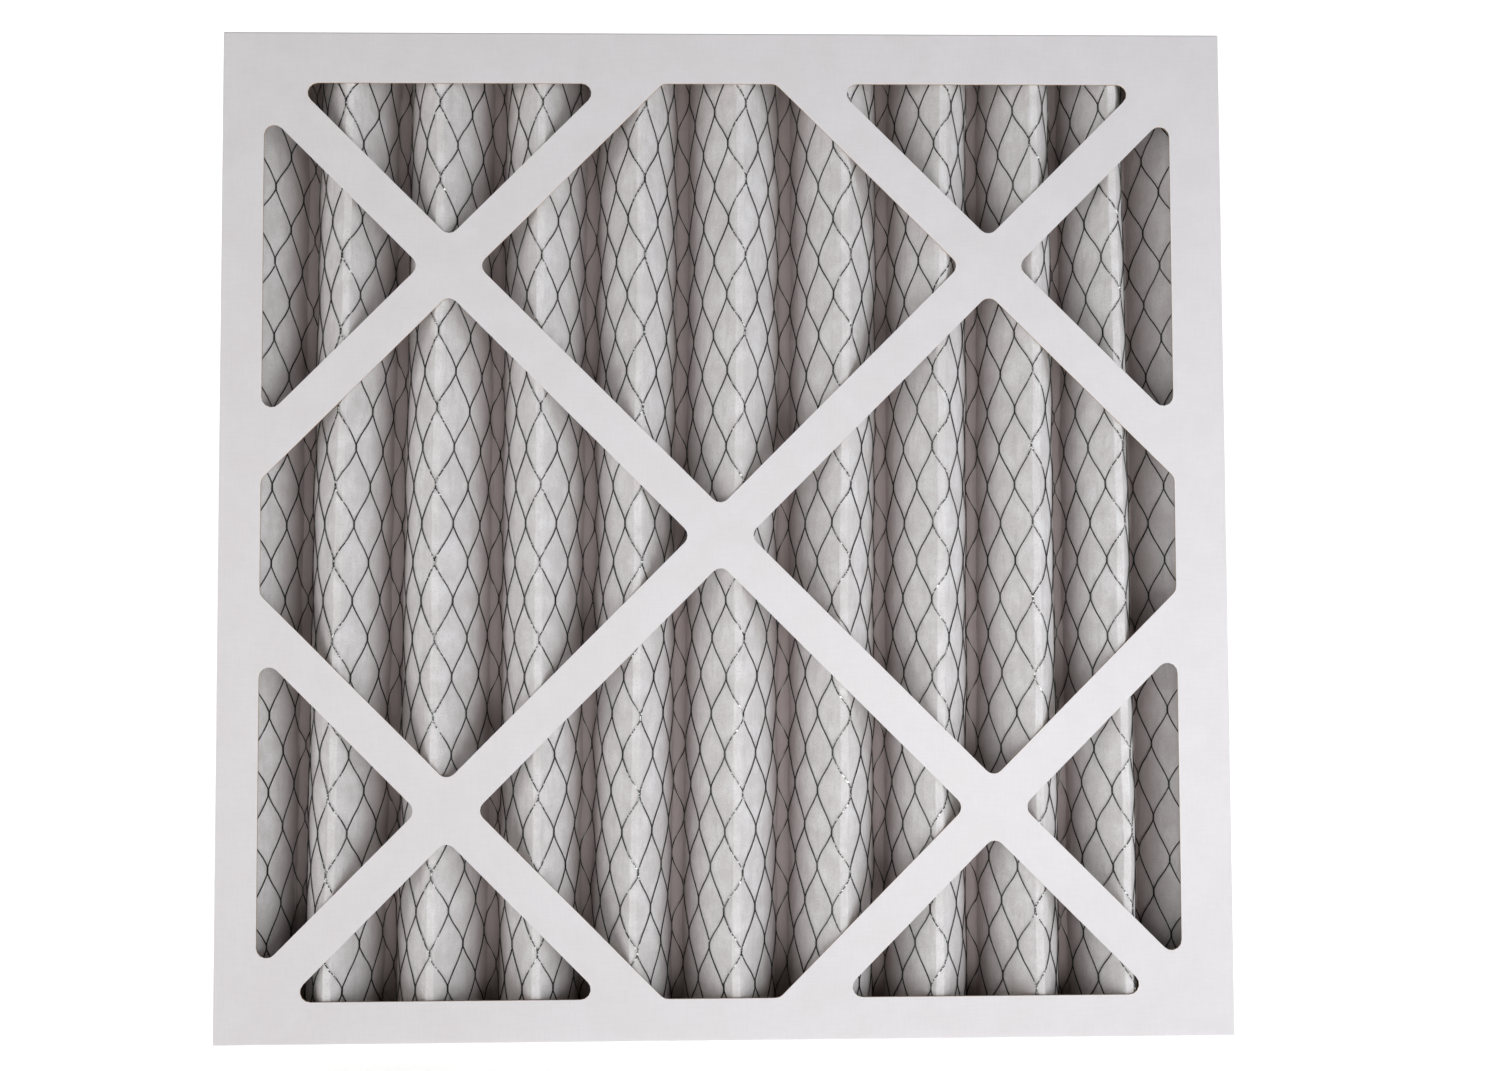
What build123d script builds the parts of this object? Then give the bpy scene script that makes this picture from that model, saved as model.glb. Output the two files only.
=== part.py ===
from build123d import *
import math
import os

# Pleated panel air filter, 20 x 20 x 2 inch nominal. X runs across the pleats, Y from the
# air-leaving face (-Y) to the air-entering face (+Y), Z along the pleats and up.
# The origin is the middle of the bottom edge. All sizes are in millimetres.

# Overall size
frame_width = 495.0
frame_height = 495.0
frame_depth = 44.5

# Paperboard trays
board = 0.7
fold_radius = 1.0
wall_gap = 0.1
tray_end_gap = 0.4
tab_length = 38.0
tab_taper = 9.0
tab_setback = 2.0
seam_depth = 0.4

# Die-cut face
window_border = 23.0
crossing_spacing = 266.7
strap_width = 20.0
window_radius = 5.0
corner_chord = 2.5
front_cut_shift_x = -2.5
front_cut_shift_z = -2.5

# Adhesive
end_film = 0.8
end_film_depth = 34.0
film_end_gap = 1.0

# Pleated media
pleat_count = 10
media_thickness = 2.0
crest_flat = 3.6
left_land = 6.0
lip_depth = 14.0

# Expanded metal support
diamond_width = 20.2
diamond_height = 38.0
strand_width = 0.9
strand_thickness = 0.35
first_diamond = 4.0
shortest_panel = 0.5
shortest_strand = 20.0

# Places that follow
front_face = -frame_depth / 2
rear_face = frame_depth / 2
rear_tray_width = frame_width - 4 * board - 2 * wall_gap
rear_tray_height = frame_height - 2 * board - 2 * wall_gap
rear_tray_depth = frame_depth - board - tray_end_gap
inner_width = rear_tray_width - 2 * board
inner_height = rear_tray_height - 2 * board
side_film = board + wall_gap
pack_half_width = inner_width / 2 - side_film
pack_height = inner_height - 2 * end_film
mid_height = frame_height / 2

media_front = front_face + board + 2 * strand_thickness
media_rear = rear_face - board
valley_line = media_rear - media_thickness
first_crest = -pack_half_width + media_thickness + left_land
pitch = (pack_half_width - media_thickness - first_crest) / pleat_count
flank_run = pitch / 2 - crest_flat / 2
flank_angle = math.atan2(valley_line - media_front, flank_run)
fold_gain = math.tan(flank_angle / 2)


def chorded(opening):
    """A convex opening with each rounded corner drawn as a few chords, which keeps facets few."""
    middle = opening.center()
    corners = []
    for arc in opening.edges().filter_by(GeomType.CIRCLE):
        chords = math.ceil(arc.length / corner_chord)
        corners += [arc.position_at(step / chords) for step in range(chords + 1)]
    corners.sort(key=lambda corner: math.atan2(corner.Y - middle.Y, corner.X - middle.X))
    return make_face(Polyline(*corners, close=True))


def lattice_windows(width, height, shift_x, shift_z):
    """The openings between the crossed straps, drawn in the plane of the tray's face."""
    field = Rectangle(width - 2 * window_border, height - 2 * window_border)
    brace_reach = crossing_spacing * math.sqrt(2)
    straps = []
    for lean in (-45, 45):
        straps.append(Rot(0, 0, lean) * Rectangle(width + height, strap_width))
        for side in (-1, 1):
            brace_x = side * crossing_spacing / 2
            brace_z = -brace_x if lean > 0 else brace_x
            straps.append(Pos(brace_x, brace_z) * Rot(0, 0, lean) * Rectangle(brace_reach, strap_width))
    openings = field - straps
    rounded = fillet(openings.vertices(), window_radius)
    return [Pos(shift_x, shift_z) * chorded(opening) for opening in rounded.faces()]


def corner_tab(depth, side_z):
    """A glue tab turned off the end of a top or bottom wall, flat against the side wall."""
    tip = -side_z * tab_length
    outline = Polyline(
        (tab_setback, 0),
        (depth - tab_setback, 0),
        (depth - tab_setback - tab_taper, tip),
        (tab_setback + tab_taper, tip),
        close=True,
    )
    return extrude(Plane.YZ * make_face(outline), amount=board / 2, both=True)


def folded_tray(width, height, depth, shift_x=0.0, shift_z=0.0):
    """A die-cut tray of board: lattice face on y = 0 and four walls folded back along +Y."""
    from_face = (Align.CENTER, Align.MIN, Align.CENTER)
    tray = Box(width, depth, height, align=from_face)
    tray = fillet(tray.faces().sort_by(Axis.Y)[0].edges(), fold_radius)
    hollow = Pos(0, board, 0) * Box(width - 2 * board, depth, height - 2 * board, align=from_face)
    hollow = fillet(hollow.faces().sort_by(Axis.Y)[0].edges(), fold_radius - board)
    tray -= hollow
    for opening in lattice_windows(width, height, shift_x, shift_z):
        tray -= extrude(Plane.XZ * opening, amount=2 * board, both=True)

    notch = seam_depth * math.sqrt(2)
    for side_x in (-1, 1):
        for side_z in (-1, 1):
            tab_place = Pos(side_x * (width / 2 - 1.5 * board), 0, side_z * (height / 2 - board))
            seam_place = Pos(side_x * (width / 2 - board), 0, side_z * height / 2)
            tray += tab_place * corner_tab(depth, side_z)
            tray -= seam_place * Rot(0, 45, 0) * Box(notch, 3 * depth, notch)
    return tray


def crest_half(offset):
    """Half the flat of a crest, on a layer that lies this far in front of the media."""
    return crest_flat / 2 + offset * fold_gain


def pleated_media():
    """One sheet folded into pleats, with a lip at each end bent back along the side wall."""
    back = -media_thickness
    front_line = [(-pack_half_width, media_front)]
    rear_line = [(-pack_half_width + media_thickness, media_front + media_thickness)]
    for pleat in range(pleat_count):
        crest = first_crest + pleat * pitch
        next_crest = crest + pitch
        valley = crest + pitch / 2
        front_line += [
            (crest + crest_half(0), media_front),
            (valley, valley_line),
            (next_crest - crest_half(0), media_front),
        ]
        rear_line += [
            (crest + crest_half(back), media_front + media_thickness),
            (valley - media_thickness * fold_gain, media_rear),
            (valley + media_thickness * fold_gain, media_rear),
            (next_crest - crest_half(back), media_front + media_thickness),
        ]
    front_line.append((pack_half_width, media_front))
    rear_line.append((pack_half_width - media_thickness, media_front + media_thickness))
    lip_end = media_front + lip_depth
    left_lip = [(-pack_half_width + media_thickness, lip_end), (-pack_half_width, lip_end)]
    right_lip = [(pack_half_width, lip_end), (pack_half_width - media_thickness, lip_end)]
    outline = left_lip + front_line + right_lip + rear_line[::-1]
    sheet = extrude(make_face(Polyline(*outline, close=True)), amount=pack_height / 2, both=True)
    return Pos(0, 0, mid_height) * sheet


def layer_folds(offset):
    """Where a layer this far in front of the media folds, from wall to wall, as (x, y)."""
    crest_y = media_front - offset
    valley_y = valley_line - offset / math.cos(flank_angle)
    folds = [(-pack_half_width, crest_y)]
    for pleat in range(pleat_count):
        crest = first_crest + pleat * pitch
        folds.append((crest + crest_half(offset), crest_y))
        folds.append((crest + pitch / 2, valley_y))
        folds.append((crest + pitch - crest_half(offset), crest_y))
    folds.append((pack_half_width, crest_y))
    return folds


def flat_places(folds):
    """How far along the unfolded sheet each fold lies."""
    places = [0.0]
    for start, end in zip(folds, folds[1:]):
        places.append(places[-1] + math.dist(start, end))
    return places


def on_layer(folds, places, place):
    """The point (x, y) of a folded layer at a place on the unfolded sheet."""
    panel = max(i for i in range(len(places) - 1) if places[i] <= place + 1e-6)
    share = (place - places[panel]) / (places[panel + 1] - places[panel])
    start = folds[panel]
    end = folds[panel + 1]
    return (start[0] + share * (end[0] - start[0]), start[1] + share * (end[1] - start[1]))


def strand(foot, slope, inner, outer, places):
    """One flat strand, straight on the unfolded sheet and bent over every fold it crosses."""
    half_rise = strand_width / 2 * math.hypot(1, slope)
    travel = (pack_height - 2 * half_rise) / abs(slope)
    low = foot if slope > 0 else foot - travel
    start = max(low, 0.0)
    end = min(low + travel, places[-1])
    if end - start < shortest_strand:
        return None
    stops = [start] + [place for place in places if start < place < end] + [end]
    if stops[1] - stops[0] < shortest_panel:
        stops.pop(0)
    if stops[-1] - stops[-2] < shortest_panel:
        stops.pop()
    sections = []
    for place in stops:
        middle = -pack_height / 2 + half_rise + slope * (place - foot)
        near = on_layer(inner, places, place)
        far = on_layer(outer, places, place)
        corners = [
            (*near, middle - half_rise),
            (*far, middle - half_rise),
            (*far, middle + half_rise),
            (*near, middle + half_rise),
        ]
        sections.append(Wire.make_polygon([Vector(*corner) for corner in corners], close=True))
    return Solid.make_loft(sections, ruled=True)


def support_grid():
    """Two crossing families of strands, one lying on the other, that make the diamonds."""
    slope = diamond_height / diamond_width
    places = flat_places(layer_folds(0))
    travel = pack_height / slope
    strands = []
    for direction in (1, -1):
        inner = layer_folds(0 if direction > 0 else strand_thickness)
        outer = layer_folds(strand_thickness if direction > 0 else 2 * strand_thickness)
        foot = first_diamond - diamond_width * math.ceil(travel / diamond_width) * (direction > 0)
        while foot < places[-1] + travel * (direction < 0):
            piece = strand(foot, direction * slope, inner, outer, places)
            if piece:
                strands.append(piece)
            foot += diamond_width
    return Pos(0, 0, mid_height) * Compound(children=strands)


def end_adhesive(side_z):
    """The film that bonds the pleats' ends to a top or bottom wall."""
    film = Box(2 * (pack_half_width - film_end_gap), end_film_depth, end_film)
    middle_y = (media_front + media_rear) / 2
    return Pos(0, middle_y, mid_height + side_z * (pack_height + end_film) / 2) * film


def side_adhesive(side_x):
    """The film that bonds the sheet's end lip to a side wall, between the corner tabs."""
    film = Box(side_film, lip_depth, inner_height - 2 * (tab_length + film_end_gap))
    middle_y = media_front + lip_depth / 2
    return Pos(side_x * (pack_half_width + side_film / 2), middle_y, mid_height) * film


front_tray = folded_tray(frame_width, frame_height, frame_depth, front_cut_shift_x, front_cut_shift_z)
rear_tray = folded_tray(rear_tray_width, rear_tray_height, rear_tray_depth)
nodes = {
    "front_frame": Pos(0, front_face, mid_height) * front_tray,
    "rear_frame": Pos(0, rear_face, mid_height) * Rot(0, 0, 180) * rear_tray,
    "pleated_media": pleated_media(),
    "support_grid": support_grid(),
    "top_adhesive": end_adhesive(1),
    "bottom_adhesive": end_adhesive(-1),
    "left_adhesive": side_adhesive(-1),
    "right_adhesive": side_adhesive(1),
}

os.makedirs("parts", exist_ok=True)
for name, shape in nodes.items():
    export_step(shape, f"parts/{name}.step")
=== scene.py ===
import math

import bpy
import numpy as np
from mathutils import Matrix, Vector


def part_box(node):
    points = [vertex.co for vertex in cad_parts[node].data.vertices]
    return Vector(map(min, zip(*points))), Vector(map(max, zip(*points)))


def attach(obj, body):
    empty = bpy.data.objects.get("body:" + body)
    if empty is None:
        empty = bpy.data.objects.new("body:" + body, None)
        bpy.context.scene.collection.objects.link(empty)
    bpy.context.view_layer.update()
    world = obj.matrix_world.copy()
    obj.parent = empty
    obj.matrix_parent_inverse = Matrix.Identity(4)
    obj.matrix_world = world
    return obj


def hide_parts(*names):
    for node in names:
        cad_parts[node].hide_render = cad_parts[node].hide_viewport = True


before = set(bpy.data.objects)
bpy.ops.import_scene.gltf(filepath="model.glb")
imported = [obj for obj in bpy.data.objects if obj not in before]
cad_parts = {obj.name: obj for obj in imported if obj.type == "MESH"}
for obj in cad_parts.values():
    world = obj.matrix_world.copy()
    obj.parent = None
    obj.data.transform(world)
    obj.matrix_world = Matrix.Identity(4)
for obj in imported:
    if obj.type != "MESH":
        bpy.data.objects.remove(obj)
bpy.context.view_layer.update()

# A pleated panel air filter. The media and its expanded metal are drawn on one unfolded sheet, with
# u along it and z up it, and carried through the folds. X runs across the pleats, Y from the
# air-leaving face (-Y) to the back, Z up. All lengths are in metres.
MM = 0.001

# Places read from the frame.
media_low, media_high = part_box("pleated_media")
CREST_Y = media_low.y
REAR_Y = media_high.y
WALL_X = media_high.x
LOW_Z = media_low.z
HIGH_Z = media_high.z
MID_Z = (LOW_Z + HIGH_Z) / 2

# The folded sheet: flat crests, arched flanks and rounded valley floors, with a lip back along each
# side wall. A bow is the angle that an arc turns through, below zero where it bows to the back.
# PANELS counts the panels from one crest to the next: crest, flank, floor and flank. LAND is how wide
# a crest's flat is, and LEFT_LAND how far the first crest's middle stands from the lip beside it.
THICK = 2.0 * MM
VALLEY_Y = REAR_Y - THICK
PLEATS = 10
LEFT_LAND = 6.0 * MM
LAND = 3.6 * MM
LIP = 14.0 * MM
FLANK_BOW = math.radians(35)
FLOOR_WIDTH = 6.5 * MM
FLOOR_SAG = 1.8 * MM
FLOOR_BOW = -4 * math.atan(2 * FLOOR_SAG / FLOOR_WIDTH)
FLOOR_EDGE_Y = VALLEY_Y - FLOOR_SAG
PANELS = 4
FIRST_CREST = -WALL_X + THICK + LEFT_LAND
PITCH = (WALL_X - THICK - FIRST_CREST) / PLEATS

# How far each crest strays from even spacing, how far it drifts from the bottom edge to the top,
# and how far each valley lies off the middle between its crests, all in millimetres.
CREST_STRAY = (0.0, -0.6, -1.3, 1.1, 1.6, 3.3, 7.6, 7.6, 7.3, 0.5, 0.0)
CREST_DRIFT = (0.0, 9.5, 3.8, 2.5, 5.2, 3.9, 4.2, 6.4, 1.6, -3.4, 0.0)
VALLEY_LEAN = (-6.3, -6.5, -4.0, -4.5, -5.8, -2.2, -1.2, -0.7, 0.3, -7.0)

# How far the crests and valley edges wander along their length, and over what distance.
WANDER = 0.5 * MM
WANDER_SCALE = 0.035
WAVE = 0.6 * MM
WAVE_SCALE = 0.012

# The media's mesh: the points across each kind of panel, the rows from bottom to top, and how far
# from a fold the first line lies.
LAND_STEPS = 4
FLANK_STEPS = 14
LIP_STEPS = 4
ROWS = 116
CREASE = 0.45 * MM

# The sheet's direction at a place is taken between the points this far to each side of it.
PROBE = 0.4 * MM
TINY = 1e-9

# Relief on the media's front: a pillow between the strands and a ripple over it. Both fade out
# towards each crest, over CREST_REACH, and stop FLAT_EDGE short of the lips.
PILLOW = 0.14 * MM
PILLOW_REACH = 2.6 * MM
RIPPLE = 0.10 * MM
CREST_REACH = 5 * MM
MOST_LIFT = 0.6 * MM
FLAT_EDGE = 1 * MM

# The expanded metal: slanting strands that join at upright bonds. The columns of bonds stand COLUMN
# apart, and every second column is HALF_ROW higher. A lift is the height off the media's front.
DIAMOND_WIDTH = 20.2 * MM
DIAMOND_HEIGHT = 38.0 * MM
COLUMN = DIAMOND_WIDTH / 2
HALF_ROW = DIAMOND_HEIGHT / 2
FIRST_BOND_U = 4.0 * MM
FIRST_BOND_Z = 2.0 * MM
BOND_LENGTH = 4.0 * MM
BOND_STRAY = 0.25 * MM
BOND_POINTS = 3
SHORTEST_BOND = 1 * MM
FEWEST_POINTS = 3
STRAND_WIDTH = 0.43 * MM
STRAND_THICK = 0.40 * MM
STRAND_LIFT = 0.27 * MM
STRAND_STEPS = 6
STRAND_CURVE = 0.028
STRAND_INSET = STRAND_WIDTH * 0.4
STRAND_FOOT = BOND_LENGTH / 2 * 0.85
BOND_WIDTH = 1.6 * STRAND_WIDTH
BOND_THICK = STRAND_THICK * 1.1
BOND_LIFT = 0.25 * MM
METAL_MARGIN = 1.5 * MM

# At the bottom of a valley the metal lies between the places BRIDGE to each side, which rounds it off.
# BRIDGE_REACH is how far from there this fades.
BRIDGE = 2.4 * MM
BRIDGE_REACH = 5.0 * MM

# smooth_noise adds up this many waves, and divides by about what they come to.
OCTAVES = 4
OCTAVE_SUM = 1.6


# ---------------------------------------------------------------- folded surface


def smooth_noise(values, seed, scale):
    """A gentle wander between about -1 and 1 along an array of places, the same on every run."""
    waves = np.random.default_rng(seed)
    total = np.zeros_like(values)
    for octave in range(1, OCTAVES + 1):
        height = waves.uniform(0.4, 1.0) / octave
        total += height * np.sin(values / scale * octave + waves.uniform(0, 7))
    return total / OCTAVE_SUM


def crest_x(k, z):
    """Where crest k runs, at heights z."""
    rise = (z - MID_Z) / (HIGH_Z - LOW_Z)
    line = FIRST_CREST + k * PITCH + CREST_STRAY[k] * MM + CREST_DRIFT[k] * MM * rise
    if 0 < k < PLEATS:
        line = line + WANDER * smooth_noise(z, seed=31 + k, scale=WANDER_SCALE)
        line = line + WAVE / 2 * smooth_noise(z, seed=51 + k, scale=WAVE_SCALE)
    return line


def valley_x(k, z):
    """Where the valley between crests k and k + 1 runs, at heights z."""
    return (crest_x(k, z) + crest_x(k + 1, z)) / 2 + VALLEY_LEAN[k] * MM


def pleat_panels(k, z):
    """The panels from crest k to the next crest at heights z: (start x, y, end x, y, bow) of each."""
    left = np.full_like(z, -WALL_X) if k == 0 else crest_x(k, z) - LAND / 2
    right = np.full_like(z, WALL_X) if k == PLEATS else crest_x(k, z) + LAND / 2
    panels = [(left, CREST_Y, right, CREST_Y, 0.0)]
    if k < PLEATS:
        middle = valley_x(k, z)
        near = middle - FLOOR_WIDTH / 2 + WAVE * smooth_noise(z, seed=61 + k, scale=WAVE_SCALE)
        far = middle + FLOOR_WIDTH / 2 + WAVE * smooth_noise(z, seed=81 + k, scale=WAVE_SCALE)
        next_left = crest_x(k + 1, z) - LAND / 2
        panels.append((right, CREST_Y, near, FLOOR_EDGE_Y, FLANK_BOW))
        panels.append((near, FLOOR_EDGE_Y, far, FLOOR_EDGE_Y, FLOOR_BOW))
        panels.append((far, FLOOR_EDGE_Y, next_left, CREST_Y, FLANK_BOW))
    return panels


def panel_lengths():
    """The lengths of the sheet's panels at mid height, from the left wall to the right one."""
    lengths = []
    for k in range(PLEATS + 1):
        for start_x, start_y, end_x, end_y, bow in pleat_panels(k, np.array([MID_Z])):
            chord = math.hypot(end_x[0] - start_x[0], end_y - start_y)
            lengths.append(chord * (bow / 2) / math.sin(bow / 2) if bow else chord)
    return lengths


FOLDS = np.concatenate([[0.0], np.cumsum(panel_lengths())])
SHEET_LENGTH = FOLDS[-1]
CRESTS = (FOLDS[0::PANELS] + FOLDS[1::PANELS]) / 2
VALLEYS = (FOLDS[2:-1:PANELS] + FOLDS[3::PANELS]) / 2


def bowed(start_x, start_y, end_x, end_y, bow, share):
    """A point that share of the way along an arc, which bows to the front if the angle is above 0."""
    chord_x = end_x - start_x
    chord_y = end_y - start_y
    if not bow:
        return start_x + chord_x * share, start_y + chord_y * share
    length = np.hypot(chord_x, chord_y)
    along_x = chord_x / length
    along_y = chord_y / length
    radius = length / (2 * math.sin(bow / 2))
    turn = (share * 2 - 1) * bow / 2
    run = length / 2 + radius * np.sin(turn)
    rise = radius * (np.cos(turn) - math.cos(bow / 2))
    return start_x + along_x * run + along_y * rise, start_y + along_y * run - along_x * rise


def sheet_surface(u, z):
    """The front of the folded sheet: (x, y) at places u along the flat sheet and heights z."""
    x = np.where(u < 0, -WALL_X, WALL_X)
    y = CREST_Y + np.maximum(np.maximum(-u, u - SHEET_LENGTH), 0)
    inside = (u >= 0) & (u <= SHEET_LENGTH)
    panel = np.clip(np.searchsorted(FOLDS, u, side="right") - 1, 0, len(FOLDS) - 2)
    share = (u - FOLDS[panel]) / (FOLDS[panel + 1] - FOLDS[panel])
    for k in range(PLEATS + 1):
        for number, ends in enumerate(pleat_panels(k, z)):
            here = inside & (panel == PANELS * k + number)
            panel_x, panel_y = bowed(*ends, share)
            x = np.where(here, panel_x, x)
            y = np.where(here, panel_y, y)
    return x, y


def place(u, z, lift):
    """Points (x, y, z) at places u along the sheet and heights z, lifted off its front by lift."""
    before_x, before_y = sheet_surface(u - PROBE, z)
    after_x, after_y = sheet_surface(u + PROBE, z)
    along_x = after_x - before_x
    along_y = after_y - before_y
    length = np.maximum(np.hypot(along_x, along_y), TINY)
    x, y = sheet_surface(u, z)
    return np.stack([x + along_y / length * lift, y - along_x / length * lift, z], -1)


def new_piece(name, points, faces, smooth):
    """A mesh object from its points and faces, with its faces shaded smooth or flat."""
    mesh = bpy.data.meshes.new(name)
    mesh.from_pydata([tuple(p) for p in points], [], faces)
    mesh.update()
    mesh.polygons.foreach_set("use_smooth", [smooth] * len(mesh.polygons))
    piece = bpy.data.objects.new(name, mesh)
    bpy.context.scene.collection.objects.link(piece)
    return piece


# ---------------------------------------------------------------- media


def strand_distance(u, z):
    """How far a place on the flat sheet is from the nearest strand or bond."""
    column = np.floor((u - FIRST_BOND_U) / COLUMN)
    share = (u - FIRST_BOND_U) / COLUMN - column
    offset = z - LOW_Z - FIRST_BOND_Z - np.mod(column, 2) * HALF_ROW
    offset = np.abs(np.mod(offset + HALF_ROW, DIAMOND_HEIGHT) - HALF_ROW)
    centre = BOND_LENGTH / 2 + (HALF_ROW - BOND_LENGTH) * share
    lean = math.cos(math.atan2(HALF_ROW - BOND_LENGTH, COLUMN))
    across = np.abs(offset - centre) * lean
    to_bond = np.hypot(np.maximum(offset - BOND_LENGTH / 2, 0), share * COLUMN)
    to_next_bond = np.hypot(np.maximum(HALF_ROW - offset - BOND_LENGTH / 2, 0), (1 - share) * COLUMN)
    return np.minimum(np.minimum(across, to_bond), to_next_bond)


def sheet_columns():
    """Places along the sheet for the mesh, closer together near each fold."""
    places = list(np.linspace(-LIP, 0, LIP_STEPS)[:-1])
    for panel in range(len(FOLDS) - 1):
        length = FOLDS[panel + 1] - FOLDS[panel]
        steps = FLANK_STEPS if panel % 2 else LAND_STEPS
        near_fold = CREASE / length
        share = np.concatenate([[0.0], np.linspace(near_fold, 1 - near_fold, steps)])
        places.extend(FOLDS[panel] + length * share)
    places.extend(SHEET_LENGTH + np.linspace(0, LIP, LIP_STEPS))
    return np.array(places)


def relief(u, z):
    """How far the media stands off its folded surface: pillows between strands, flat at crests."""
    pillow = PILLOW * (1 - np.exp(-((strand_distance(u, z) / PILLOW_REACH) ** 2)))
    one_way = smooth_noise(u * 1.7 + z, seed=5, scale=0.02)
    other_way = smooth_noise(z * 1.3 - u, seed=6, scale=0.03)
    pillow += RIPPLE * one_way * other_way
    on_crest = sum(np.exp(-(((u - crest) / CREST_REACH) ** 2)) for crest in CRESTS)
    at_lips = (u < FLAT_EDGE) | (u > SHEET_LENGTH - FLAT_EDGE)
    return np.where(at_lips, 0, np.clip(pillow * (1 - on_crest), 0, MOST_LIFT))


def build_media():
    """The folded sheet: its front and back surfaces, joined round the edge."""
    u, z = np.meshgrid(sheet_columns(), np.linspace(LOW_Z, HIGH_Z, ROWS), indexing="ij")
    front = place(u, z, relief(u, z))
    back = place(u, z, np.full_like(u, -THICK))
    back[..., 1] = np.minimum(back[..., 1], REAR_Y)
    points = np.concatenate([front.reshape(-1, 3), back.reshape(-1, 3)])

    grid = np.arange(u.size).reshape(u.shape)
    quads = np.stack([grid[:-1, :-1], grid[1:, :-1], grid[1:, 1:], grid[:-1, 1:]], -1).reshape(-1, 4)
    rim = list(zip(grid[1:, 0], grid[:-1, 0])) + list(zip(grid[:-1, -1], grid[1:, -1]))
    rim += list(zip(grid[0, :-1], grid[0, 1:])) + list(zip(grid[-1, 1:], grid[-1, :-1]))
    faces = quads.tolist() + (quads[:, ::-1] + u.size).tolist()
    faces += [(a, b, b + u.size, a + u.size) for a, b in rim]
    piece = new_piece("media_pleats", points, faces, smooth=True)

    # Each point's place on the unfolded sheet, for a grain that follows the folds.
    flat = np.tile(np.stack([u + LIP, z - LOW_Z], -1).reshape(-1, 2), (2, 1))
    corners = np.zeros(len(piece.data.loops), int)
    piece.data.loops.foreach_get("vertex_index", corners)
    piece.data.uv_layers.new(name="flat").data.foreach_set("uv", flat[corners].ravel())
    return piece


# ---------------------------------------------------------------- expanded metal


def metal_place(u, z, lift):
    """Points on the metal's own surface, which rounds off the bottom of each valley."""
    away = np.min(np.abs(u[..., None] - VALLEYS), -1)
    weight = np.exp(-((away / BRIDGE_REACH) ** 2))
    reach = BRIDGE * weight
    either_side = (place(u + reach, z, lift) + place(u - reach, z, lift)) / 2
    return place(u, z, lift) * (1 - weight[..., None]) + either_side * weight[..., None]


def strand_run(u0, z0, u1, z1):
    """A strand's middle line from bond to bond on the flat sheet."""
    t = np.linspace(0, 1, STRAND_STEPS + 1)
    eased = t + STRAND_CURVE * np.sin(2 * math.pi * t)
    return u0 + (u1 - u0) * t, z0 + (z1 - z0) * eased


def metal_bars():
    """Each bond and strand of the flat sheet: its middle line (u, z), width, thickness and lift."""
    rng = np.random.default_rng(20)
    top = HIGH_Z - METAL_MARGIN
    bottom = LOW_Z + METAL_MARGIN
    last_column = int((SHEET_LENGTH + LIP - FIRST_BOND_U) / COLUMN)
    bond_rows = int((top - bottom) / DIAMOND_HEIGHT) + 2
    for column in range(last_column + 1):
        bond_u = FIRST_BOND_U + column * COLUMN
        for row in range(bond_rows):
            bond_z = LOW_Z + FIRST_BOND_Z + row * DIAMOND_HEIGHT + (column % 2) * HALF_ROW
            bond_z += rng.normal(0, BOND_STRAY)
            low = max(bond_z - BOND_LENGTH / 2, bottom)
            high = min(bond_z + BOND_LENGTH / 2, top)
            if high - low > SHORTEST_BOND:
                z = np.linspace(low, high, BOND_POINTS)
                yield np.full(BOND_POINTS, bond_u), z, BOND_WIDTH, BOND_THICK, BOND_LIFT
            if column == last_column:
                continue
            for way in (1, -1):
                start = (bond_u + STRAND_INSET, bond_z + way * STRAND_FOOT)
                end = (bond_u + COLUMN - STRAND_INSET, bond_z + way * (HALF_ROW - STRAND_FOOT))
                u, z = strand_run(*start, *end)
                inside = (z > bottom) & (z < top)
                if inside.sum() < FEWEST_POINTS:
                    continue
                thick = STRAND_THICK * rng.uniform(0.9, 1.1)
                yield u[inside], z[inside], STRAND_WIDTH, thick, STRAND_LIFT


def bar_corners(u, z, width, thick, lift):
    """The four corner lines of a flat bar on the flat sheet, as (u, z, lift)."""
    du = np.gradient(u)
    dz = np.gradient(z)
    length = np.hypot(du, dz)
    side_u = dz / length * width / 2
    side_z = -du / length * width / 2
    lines = []
    for across, up in ((-1, 0), (1, 0), (1, 1), (-1, 1)):
        rise = np.full_like(u, lift + thick * up)
        lines.append(np.stack([u + side_u * across, z + side_z * across, rise], -1))
    return np.concatenate(lines)


def bar_faces(start, count):
    """The sides and ends of a bar whose corner lines of that many points begin at start."""
    faces = []
    for i in range(count - 1):
        for s in range(4):
            a = start + s * count + i
            b = start + (s + 1) % 4 * count + i
            faces.append((a, b, b + 1, a + 1))
    faces.append([start + s * count for s in (3, 2, 1, 0)])
    faces.append([start + s * count + count - 1 for s in (0, 1, 2, 3)])
    return faces


def build_metal():
    """The expanded metal, folded with the media and lying on its front."""
    corners = []
    faces = []
    start = 0
    for u, z, width, thick, lift in metal_bars():
        corners.append(bar_corners(u, z, width, thick, lift))
        faces += bar_faces(start, len(u))
        start += len(corners[-1])
    points = metal_place(*np.concatenate(corners).T)
    return new_piece("metal_grid", points, faces, smooth=False)


media = build_media()
metal = build_metal()

# ---------------------------------------------------------------- node helpers


def new_material(name):
    """A new material, with its node tree and its shader."""
    made = bpy.data.materials.new(name)
    made.use_nodes = True
    return made, made.node_tree, made.node_tree.nodes["Principled BSDF"]


def link(tree, source, target):
    """Set a socket to a constant, or join it to another node's output."""
    if isinstance(source, (int, float, tuple)):
        target.default_value = source
    else:
        tree.links.new(source, target)


def math_node(tree, operation, a, b):
    node = tree.nodes.new("ShaderNodeMath")
    node.operation = operation
    link(tree, a, node.inputs[0])
    link(tree, b, node.inputs[1])
    return node.outputs[0]


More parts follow.
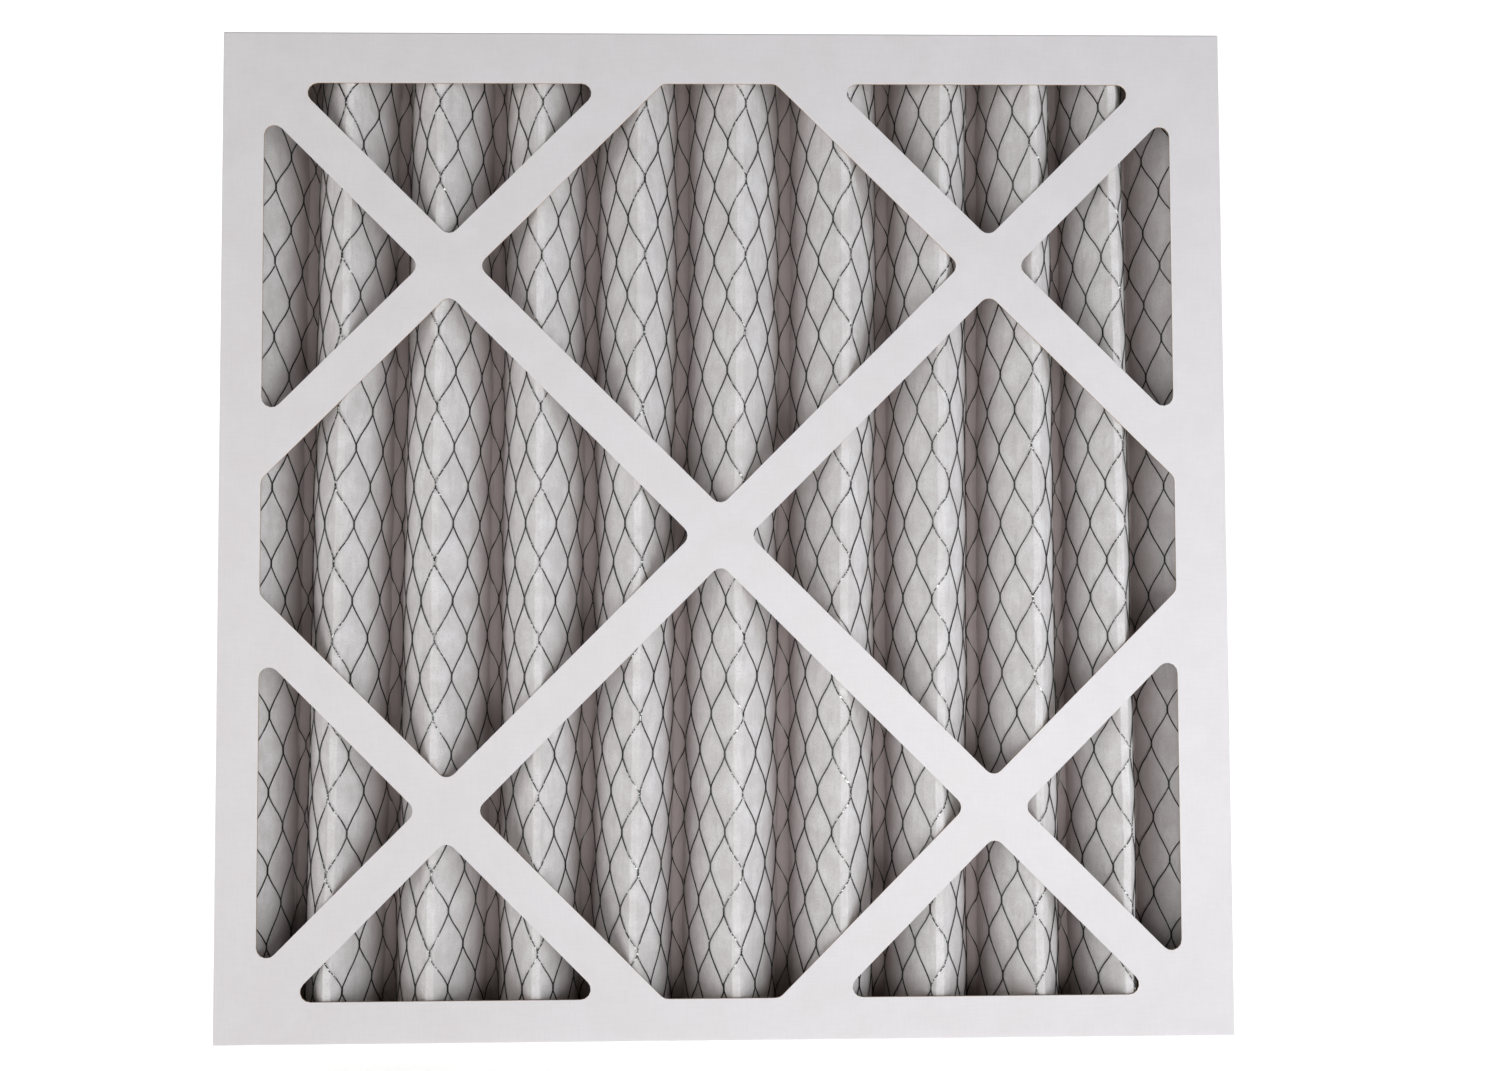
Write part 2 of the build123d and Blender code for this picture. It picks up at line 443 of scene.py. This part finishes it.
def vector_node(tree, operation, a, b=None, output="Vector"):
    node = tree.nodes.new("ShaderNodeVectorMath")
    node.operation = operation
    link(tree, a, node.inputs[0])
    if b is not None:
        link(tree, b, node.inputs[1])
    return node.outputs[output]


def component(tree, vector, axis):
    """One of the numbers of a vector: "X", "Y" or "Z"."""
    node = tree.nodes.new("ShaderNodeSeparateXYZ")
    link(tree, vector, node.inputs[0])
    return node.outputs[axis]


def noise(tree, where, scale, detail=3.0, rough=0.55, stretch=None):
    """Noise with about scale lumps to the metre, drawn out along an axis whose stretch is below 1."""
    if stretch is not None:
        where = vector_node(tree, "MULTIPLY", where, stretch)
    node = tree.nodes.new("ShaderNodeTexNoise")
    link(tree, where, node.inputs["Vector"])
    node.inputs["Scale"].default_value = scale
    node.inputs["Detail"].default_value = detail
    node.inputs["Roughness"].default_value = rough
    return node.outputs["Fac"]


def ramp(tree, value, low, high, to_low=0.0, to_high=1.0):
    """A smooth step: to_low where the value is at most low, to_high where it is at least high."""
    node = tree.nodes.new("ShaderNodeMapRange")
    node.interpolation_type = "SMOOTHSTEP"
    link(tree, value, node.inputs["Value"])
    node.inputs["From Min"].default_value = low
    node.inputs["From Max"].default_value = high
    node.inputs["To Min"].default_value = to_low
    node.inputs["To Max"].default_value = to_high
    return node.outputs["Result"]


def mix(tree, share, a, b):
    """The colour a, with that share of b."""
    node = tree.nodes.new("ShaderNodeMix")
    node.data_type = "RGBA"
    link(tree, share, node.inputs["Factor"])
    link(tree, a, node.inputs["A"])
    link(tree, b, node.inputs["B"])
    return node.outputs["Result"]


def bump(tree, shader, height, distance, strength):
    """Give a shader fine relief, in which a height of 1 stands for that distance."""
    node = tree.nodes.new("ShaderNodeBump")
    node.inputs["Strength"].default_value = strength
    node.inputs["Distance"].default_value = distance
    link(tree, height, node.inputs["Height"])
    tree.links.new(node.outputs["Normal"], shader.inputs["Normal"])


def object_place(tree):
    """The place being shaded, in metres, which is the same in every piece."""
    return tree.nodes.new("ShaderNodeTexCoord").outputs["Object"]


# ---------------------------------------------------------------- materials

# The board's coating, on the outer skin of each tray, and the bare kraft under it.
BOARD_CORNER = 1.0 * MM
COATING_DEPTH = 0.15 * MM
COATING_BLUR = 0.05 * MM
COATED_DULL = (0.81, 0.785, 0.80, 1)
COATED_PALE = (0.825, 0.805, 0.825, 1)
LINEN_SHADE = (0.62, 0.61, 0.63, 1)
KRAFT_DARK = (0.42, 0.27, 0.155, 1)
KRAFT_PALE = (0.55, 0.39, 0.25, 1)

# The media, with a warm painted shade that deepens from a set depth behind the crests to the valleys,
# on its front only.
MEDIA_DULL = (0.74, 0.715, 0.72, 1)
MEDIA_PALE = (0.85, 0.84, 0.85, 1)
MEDIA_SPECK = (0.46, 0.44, 0.43, 1)
MEDIA_GRAIN = (0.58, 0.56, 0.56, 1)
MEDIA_VALLEY_SHADE = (0.45, 0.374, 0.362, 1)
VALLEY_SHADE_START = 10 * MM
MOST_VALLEY_SHADE = 0.85
FACING_BACK = 0.02

# The metal, with a painted glint from the crests down to GLINT_NONE behind them.
STEEL_DARK = (0.055, 0.061, 0.055, 1)
STEEL_PALE = (0.15, 0.16, 0.15, 1)
PAINTED_GLINT = (0.85, 0.86, 0.86, 1)
GLINT_FULL = 0.4 * MM
GLINT_NONE = 2.6 * MM

# The adhesive.
GLUE_DARK = (0.68, 0.64, 0.54, 1)
GLUE_PALE = (0.78, 0.75, 0.67, 1)


def outer_depth(tree, where, centre, half_size):
    """How deep a place lies under the skin of a round-cornered box, as a number below zero."""
    past = vector_node(tree, "SUBTRACT", where, tuple(centre))
    past = vector_node(tree, "ABSOLUTE", past)
    past = vector_node(tree, "SUBTRACT", past, tuple(s - BOARD_CORNER for s in half_size))
    outside = vector_node(tree, "MAXIMUM", past, (0.0, 0.0, 0.0))
    reach = vector_node(tree, "LENGTH", outside, output="Value")
    deepest = math_node(tree, "MAXIMUM", component(tree, past, "X"), component(tree, past, "Y"))
    deepest = math_node(tree, "MAXIMUM", deepest, component(tree, past, "Z"))
    deepest = math_node(tree, "MINIMUM", deepest, 0.0)
    return math_node(tree, "SUBTRACT", math_node(tree, "ADD", reach, deepest), BOARD_CORNER)


def board_material(node):
    """White-faced board with a faint linen grain, brown inside the tray and on its cut edges."""
    made, tree, shader = new_material("board_" + node)
    low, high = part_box(node)
    where = object_place(tree)
    depth = outer_depth(tree, where, (low + high) / 2, (high - low) / 2)
    coated = ramp(tree, depth, -COATING_DEPTH - COATING_BLUR, -COATING_DEPTH + COATING_BLUR)
    mottle = noise(tree, where, scale=55.0, detail=4.0)
    fibre = noise(tree, where, scale=900.0, rough=0.6)
    linen_up = noise(tree, where, scale=900.0, detail=1.0, rough=0.5, stretch=(1.0, 1.0, 0.12))
    linen_across = noise(tree, where, scale=900.0, detail=1.0, rough=0.5, stretch=(0.12, 1.0, 1.0))
    linen = math_node(tree, "ADD", linen_up, linen_across)
    white = mix(tree, ramp(tree, mottle, 0.35, 0.65), COATED_DULL, COATED_PALE)
    white = mix(tree, ramp(tree, linen, 0.75, 1.3, 0.0, 0.10), white, LINEN_SHADE)
    brown = mix(tree, ramp(tree, fibre, 0.35, 0.65), KRAFT_DARK, KRAFT_PALE)
    link(tree, mix(tree, coated, brown, white), shader.inputs["Base Color"])
    link(tree, ramp(tree, mottle, 0.3, 0.7, 0.44, 0.58), shader.inputs["Roughness"])
    shader.inputs["Specular IOR Level"].default_value = 0.35
    bump(tree, shader, math_node(tree, "ADD", linen, fibre), distance=0.05 * MM, strength=0.35)
    return made


def media_material():
    """Off-white nonwoven with fibres along the pleats, with a warm painted shade down in the valleys.
    """
    made, tree, shader = new_material("nonwoven_media")
    flat = tree.nodes.new("ShaderNodeUVMap")
    flat.uv_map = "flat"
    flat = flat.outputs[0]
    fine = noise(tree, flat, scale=1100.0, detail=4.0, rough=0.65)
    fibres = noise(tree, flat, scale=420.0, rough=0.6, stretch=(1.0, 0.35, 1.0))
    cloud = noise(tree, flat, scale=70.0, detail=4.0, rough=0.6)
    grain = noise(tree, flat, scale=260.0, detail=4.0, rough=0.7, stretch=(1.0, 0.22, 1.0))
    tone = mix(tree, ramp(tree, cloud, 0.35, 0.68), MEDIA_DULL, MEDIA_PALE)
    tone = mix(tree, ramp(tree, fine, 0.50, 0.72, 0.0, 0.45), tone, MEDIA_SPECK)
    tone = mix(tree, ramp(tree, grain, 0.45, 0.70, 0.0, 0.36), tone, MEDIA_GRAIN)
    # Painted shade: the front darkens and warms towards the valleys, standing in for shadow and warm
    # bounced light there.
    how_far_back = component(tree, object_place(tree), "Y")
    deep = ramp(tree, how_far_back, CREST_Y + VALLEY_SHADE_START, VALLEY_Y, 0.0, MOST_VALLEY_SHADE)
    normal = tree.nodes.new("ShaderNodeNewGeometry").outputs["Normal"]
    on_front = math_node(tree, "LESS_THAN", component(tree, normal, "Y"), FACING_BACK)
    tone = mix(tree, math_node(tree, "MULTIPLY", deep, on_front), tone, MEDIA_VALLEY_SHADE)
    link(tree, tone, shader.inputs["Base Color"])
    link(tree, ramp(tree, fibres, 0.3, 0.7, 0.82, 0.98), shader.inputs["Roughness"])
    shader.inputs["Specular IOR Level"].default_value = 0.2
    shader.inputs["Sheen Weight"].default_value = 0.15
    height = math_node(tree, "ADD", math_node(tree, "MULTIPLY", fine, 0.5), fibres)
    height = math_node(tree, "ADD", height, math_node(tree, "MULTIPLY", grain, 1.4))
    height = math_node(tree, "ADD", height, math_node(tree, "MULTIPLY", cloud, 2.0))
    bump(tree, shader, height, distance=0.45 * MM, strength=0.55)
    return made


def metal_material():
    """Dull dark steel, with painted glints in bright dashes where the strands bend over a crest."""
    made, tree, shader = new_material("dark_steel")
    where = object_place(tree)
    patch = noise(tree, where, scale=120.0)
    fine = noise(tree, where, scale=1400.0, detail=2.0)
    tone = mix(tree, ramp(tree, patch, 0.38, 0.68), STEEL_DARK, STEEL_PALE)
    how_far_back = component(tree, where, "Y")
    # Painted highlight: bright dashes of colour on the strands at the crests, standing in for glints
    # of light.
    glint_reach = ramp(tree, how_far_back, CREST_Y + GLINT_FULL, CREST_Y + GLINT_NONE, 1.0, 0.0)
    glint_dashes = ramp(tree, noise(tree, where, scale=800.0, detail=1.0), 0.52, 0.60)
    tone = mix(tree, math_node(tree, "MULTIPLY", glint_reach, glint_dashes), tone, PAINTED_GLINT)
    link(tree, tone, shader.inputs["Base Color"])
    shader.inputs["Metallic"].default_value = 1.0
    link(tree, ramp(tree, fine, 0.3, 0.7, 0.24, 0.46), shader.inputs["Roughness"])
    bump(tree, shader, fine, distance=0.05 * MM, strength=0.3)
    return made


def glue_material():
    """Cream-coloured set adhesive, cloudy and lumpy."""
    made, tree, shader = new_material("hot_melt")
    cloud = noise(tree, object_place(tree), scale=160.0)
    tone = mix(tree, ramp(tree, cloud, 0.35, 0.65), GLUE_DARK, GLUE_PALE)
    link(tree, tone, shader.inputs["Base Color"])
    link(tree, ramp(tree, cloud, 0.3, 0.7, 0.28, 0.45), shader.inputs["Roughness"])
    bump(tree, shader, cloud, distance=0.4 * MM, strength=0.5)
    return made


def dress(piece, material):
    """Give a piece one material, in place of what it has."""
    piece.data.materials.clear()
    piece.data.materials.append(material)


hot_melt = glue_material()
for name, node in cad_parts.items():
    if name.endswith("_frame"):
        dress(node, board_material(name))
    elif name.endswith("_adhesive"):
        dress(node, hot_melt)
dress(media, media_material())
dress(metal, metal_material())

for piece, node, slot_name in ((media, "pleated_media", "media"), (metal, "support_grid", "grid")):
    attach(piece, "root")
    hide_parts(node)

# ---------------------------------------------------------------- stage

# The floor and the sweep behind it. The paper glows from GLOW_NEAR at GLOW_FROM to GLOW_FAR at
# GLOW_TO, so that it stays white.
FLOOR_REACH = 6.0
SWEEP_START = 0.9
SWEEP_RADIUS = 0.8
SWEEP_STEPS = 16
SWEEP_TOP = 5.0
PAPER = (0.92, 0.92, 0.92, 1)
GLOW_FROM = -0.2
GLOW_TO = 1.3
GLOW_NEAR = 0.65
GLOW_FAR = 0.68
SKY_LIGHT = 0.145
SKY_SHOWN = 0.90

scene = bpy.context.scene
scene.view_settings.view_transform = "Standard"


def backdrop_material():
    """White paper that glows a little more the farther back it lies."""
    made, tree, shader = new_material("backdrop")
    shader.inputs["Base Color"].default_value = PAPER
    shader.inputs["Roughness"].default_value = 0.9
    shader.inputs["Specular IOR Level"].default_value = 0.0
    shader.inputs["Emission Color"].default_value = (1, 1, 1, 1)
    distance = component(tree, object_place(tree), "Y")
    glow = ramp(tree, distance, GLOW_FROM, GLOW_TO, GLOW_NEAR, GLOW_FAR)
    link(tree, glow, shader.inputs["Emission Strength"])
    return made


def add_floor():
    """A pale floor that sweeps up into a wall behind the filter."""
    profile = [(-FLOOR_REACH, 0.0), (SWEEP_START, 0.0)]
    for step in range(1, SWEEP_STEPS + 1):
        turn = math.radians(90 * step / SWEEP_STEPS)
        y = SWEEP_START + SWEEP_RADIUS * math.sin(turn)
        profile.append((y, SWEEP_RADIUS * (1 - math.cos(turn))))
    profile.append((SWEEP_START + SWEEP_RADIUS, SWEEP_TOP))
    points = [(x, y, z) for y, z in profile for x in (-FLOOR_REACH, FLOOR_REACH)]
    faces = [(2 * i, 2 * i + 1, 2 * i + 3, 2 * i + 2) for i in range(len(profile) - 1)]
    floor = new_piece("floor", points, faces, smooth=True)
    dress(floor, backdrop_material())


def add_sky():
    """Soft even light, which looks brighter to the camera than it shines."""
    world = bpy.data.worlds.new("studio")
    scene.world = world
    world.use_nodes = True
    tree = world.node_tree
    sky = tree.nodes["Background"]
    sky.inputs["Color"].default_value = (1.0, 1.0, 1.0, 1)
    seen = tree.nodes.new("ShaderNodeLightPath").outputs["Is Camera Ray"]
    link(tree, ramp(tree, seen, 0.0, 1.0, SKY_LIGHT, SKY_SHOWN), sky.inputs["Strength"])


def soft_light(name, place_at, aim, size, power, colour):
    """A rectangular lamp that faces the point it aims at."""
    lamp = bpy.data.lights.new(name, "AREA")
    lamp.shape = "RECTANGLE"
    lamp.size, lamp.size_y = size
    lamp.energy = power
    lamp.color = colour
    holder = bpy.data.objects.new(name, lamp)
    scene.collection.objects.link(holder)
    holder.location = place_at
    holder.rotation_euler = (Vector(aim) - Vector(place_at)).to_track_quat("-Z", "Y").to_euler()


add_floor()
add_sky()
soft_light(
    "key",
    place_at=(0.78, -0.62, 0.28),
    aim=(0.05, 0, 0.2),
    size=(0.40, 0.30),
    power=1.36,
    colour=(0.92, 0.96, 1.0),
)
soft_light(
    "low",
    place_at=(0.14, -0.50, 0.09),
    aim=(0.05, 0, 0.12),
    size=(0.32, 0.16),
    power=0.58,
    colour=(1.0, 1.0, 1.0),
)
soft_light(
    "fill",
    place_at=(-0.80, -0.62, 0.28),
    aim=(0, 0, 0.2),
    size=(0.5, 0.3),
    power=1.15,
    colour=(1.0, 0.925, 0.875),
)

# ---------------------------------------------------------------- camera

SENSOR_WIDTH = 36.0
LENS = 25.2
CAMERA_PLACE = Vector((0.00437, -0.53728, 0.22971))
CAMERA_FORWARD = Vector((0.01468, 0.99946, 0.02937)).normalized()
CAMERA_UP = Vector((0.00336, -0.02943, 0.99956))


def add_camera():
    """The photograph's camera, standing a little over half a metre in front of the filter."""
    camera_data = bpy.data.cameras.new("camera")
    camera_data.sensor_width = SENSOR_WIDTH
    camera_data.lens = LENS
    camera_data.clip_start = 0.02
    camera_data.clip_end = 50
    camera = bpy.data.objects.new("camera", camera_data)
    scene.collection.objects.link(camera)
    right = CAMERA_FORWARD.cross(CAMERA_UP).normalized()
    up = right.cross(CAMERA_FORWARD)
    turn = Matrix((right, up, -CAMERA_FORWARD)).transposed().to_4x4()
    camera.matrix_world = Matrix.Translation(CAMERA_PLACE) @ turn
    scene.camera = camera


add_camera()
